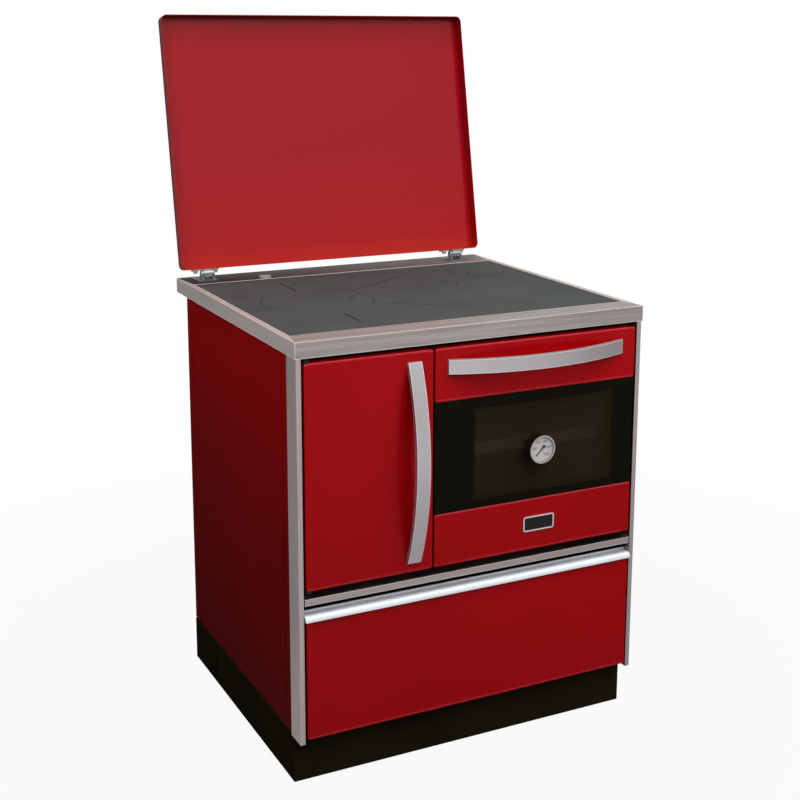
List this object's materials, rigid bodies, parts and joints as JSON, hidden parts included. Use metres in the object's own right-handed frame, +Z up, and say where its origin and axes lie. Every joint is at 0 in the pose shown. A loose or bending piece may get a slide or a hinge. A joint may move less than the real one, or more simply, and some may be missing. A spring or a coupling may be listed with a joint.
{
  "type": "solid fuel range cooker",
  "caption": "Solid-fuel range cooker with a hinged lid over a cast-iron hob, fire door, glazed drop-down oven door and wood drawer in a stainless-framed red enamelled body.",
  "frame": {"origin": "on the floor, at the middle of the top frame's footprint", "axes": "+Z up, the front with the doors faces -Y, +X to the right when facing the front"},
  "size_m": [0.732, 0.8179, 1.4061],
  "materials": {
    "red_enamel": "gloss",
    "stainless": "brushed",
    "plinth_black": "satin",
    "dark_steel": "satin",
    "back_sheet": "matte",
    "cast_iron": "matte",
    "galvanised": "satin",
    "oven_enamel": "gloss",
    "firebrick": "matte",
    "rope_seal": "matte",
    "rack_chrome": "polished",
    "hinge_steel": "polished",
    "bush_brass": "satin",
    "handle_aluminium": "satin",
    "dark_glass": "gloss",
    "clear_glass": "gloss",
    "case_chrome": "polished",
    "dial_white": "satin",
    "needle_black": "satin",
    "badge_black": "gloss"
  },
  "bodies": {
    "cabinet": {"plinth_front_section": "plinth_black", "plinth_rear_section": "plinth_black", "base_plate": "dark_steel", "side_panel_left": "red_enamel", "side_panel_right": "red_enamel", "back_panel": "back_sheet", "corner_post_left": "stainless", "corner_post_right": "stainless", "cross_rail": "stainless", "front_frame": "dark_steel", "middle_shelf": "dark_steel", "inner_casing": "dark_steel", "firebox_base": "dark_steel", "firebrick_left": "firebrick", "firebrick_right": "firebrick", "firebrick_rear": "firebrick", "fire_grate": "cast_iron", "ash_pan": "galvanised", "oven_box": "oven_enamel", "oven_side_racks": "rack_chrome", "oven_baking_tray": "oven_enamel", "flue_spigot": "cast_iron", "top_frame": "stainless", "hob_plate": "cast_iron", "lid_hinge_bases": "hinge_steel", "lid_hinge_pins": "hinge_steel", "lid_hinge_screws": "hinge_steel", "fire_door_hinge_brackets": "dark_steel", "oven_door_hinge_arms": "dark_steel", "cabinet_runners": "galvanised"},
    "lid": {"lid_hinge_leaves": "hinge_steel", "lid_tray": "red_enamel"},
    "fire_door": {"fire_door_panel": "red_enamel", "fire_door_liner": "dark_steel", "fire_door_seal": "rope_seal", "fire_door_bushes": "bush_brass", "fire_door_handle": "handle_aluminium"},
    "oven_door": {"oven_door_top_panel": "red_enamel", "oven_door_bottom_panel": "red_enamel", "oven_door_glass": "dark_glass", "oven_door_frame": "dark_steel", "oven_door_inner_glass": "clear_glass", "oven_door_seal": "rope_seal", "oven_door_bushes": "bush_brass", "oven_door_handle": "handle_aluminium", "thermometer_case": "case_chrome", "thermometer_dial": "dial_white", "thermometer_lens": "clear_glass", "thermometer_probe": "rack_chrome", "badge_frame": "case_chrome", "badge_plate": "badge_black"},
    "needle": {"thermometer_needle": "needle_black"},
    "drawer": {"drawer_front": "red_enamel", "drawer_pull": "handle_aluminium", "drawer_box": "galvanised", "drawer_runners": "galvanised"},
    "ring_cover": {"hob_ring_cover": "cast_iron"},
    "flue_cover": {"flue_outlet_cover": "cast_iron"},
    "damper": {"damper_knob": "case_chrome", "damper_flap": "dark_steel"}
  },
  "joints": [
    {"name": "lid_hinge", "type": "hinge", "parent": "cabinet", "child": "lid", "pos_m": [0, 0.3068, 0.861], "axis": [-1, 0, 0], "range_deg": [-100.5, 0]},
    {"name": "fire_door_hinge", "type": "hinge", "parent": "cabinet", "child": "fire_door", "pos_m": [-0.344, -0.334, 0.6], "axis": [0, 0, -1], "range_deg": [0, 115]},
    {"name": "oven_door_hinge", "type": "hinge", "parent": "cabinet", "child": "oven_door", "pos_m": [0.128, -0.328, 0.398], "axis": [1, 0, 0], "range_deg": [0, 90]},
    {"name": "drawer_slide", "type": "slide", "parent": "cabinet", "child": "drawer", "axis": [0, -1, 0], "range_m": [0, 0.42]},
    {"name": "ring_cover_lift", "type": "slide", "parent": "cabinet", "child": "ring_cover", "axis": [0, 0, 1], "range_m": [0, 0.15]},
    {"name": "flue_cover_lift", "type": "slide", "parent": "cabinet", "child": "flue_cover", "axis": [0, 0, 1], "range_m": [0, 0.15]},
    {"name": "damper_turn", "type": "hinge", "parent": "cabinet", "child": "damper", "pos_m": [-0.1932, 0.2617, 0.855], "axis": [0, 0, -1], "range_deg": [0, 90]},
    {"name": "needle_turn", "type": "hinge", "parent": "oven_door", "child": "needle", "pos_m": [0.1248, -0.364, 0.598], "axis": [0, 1, 0], "range_deg": [0, 270]}
  ]
}
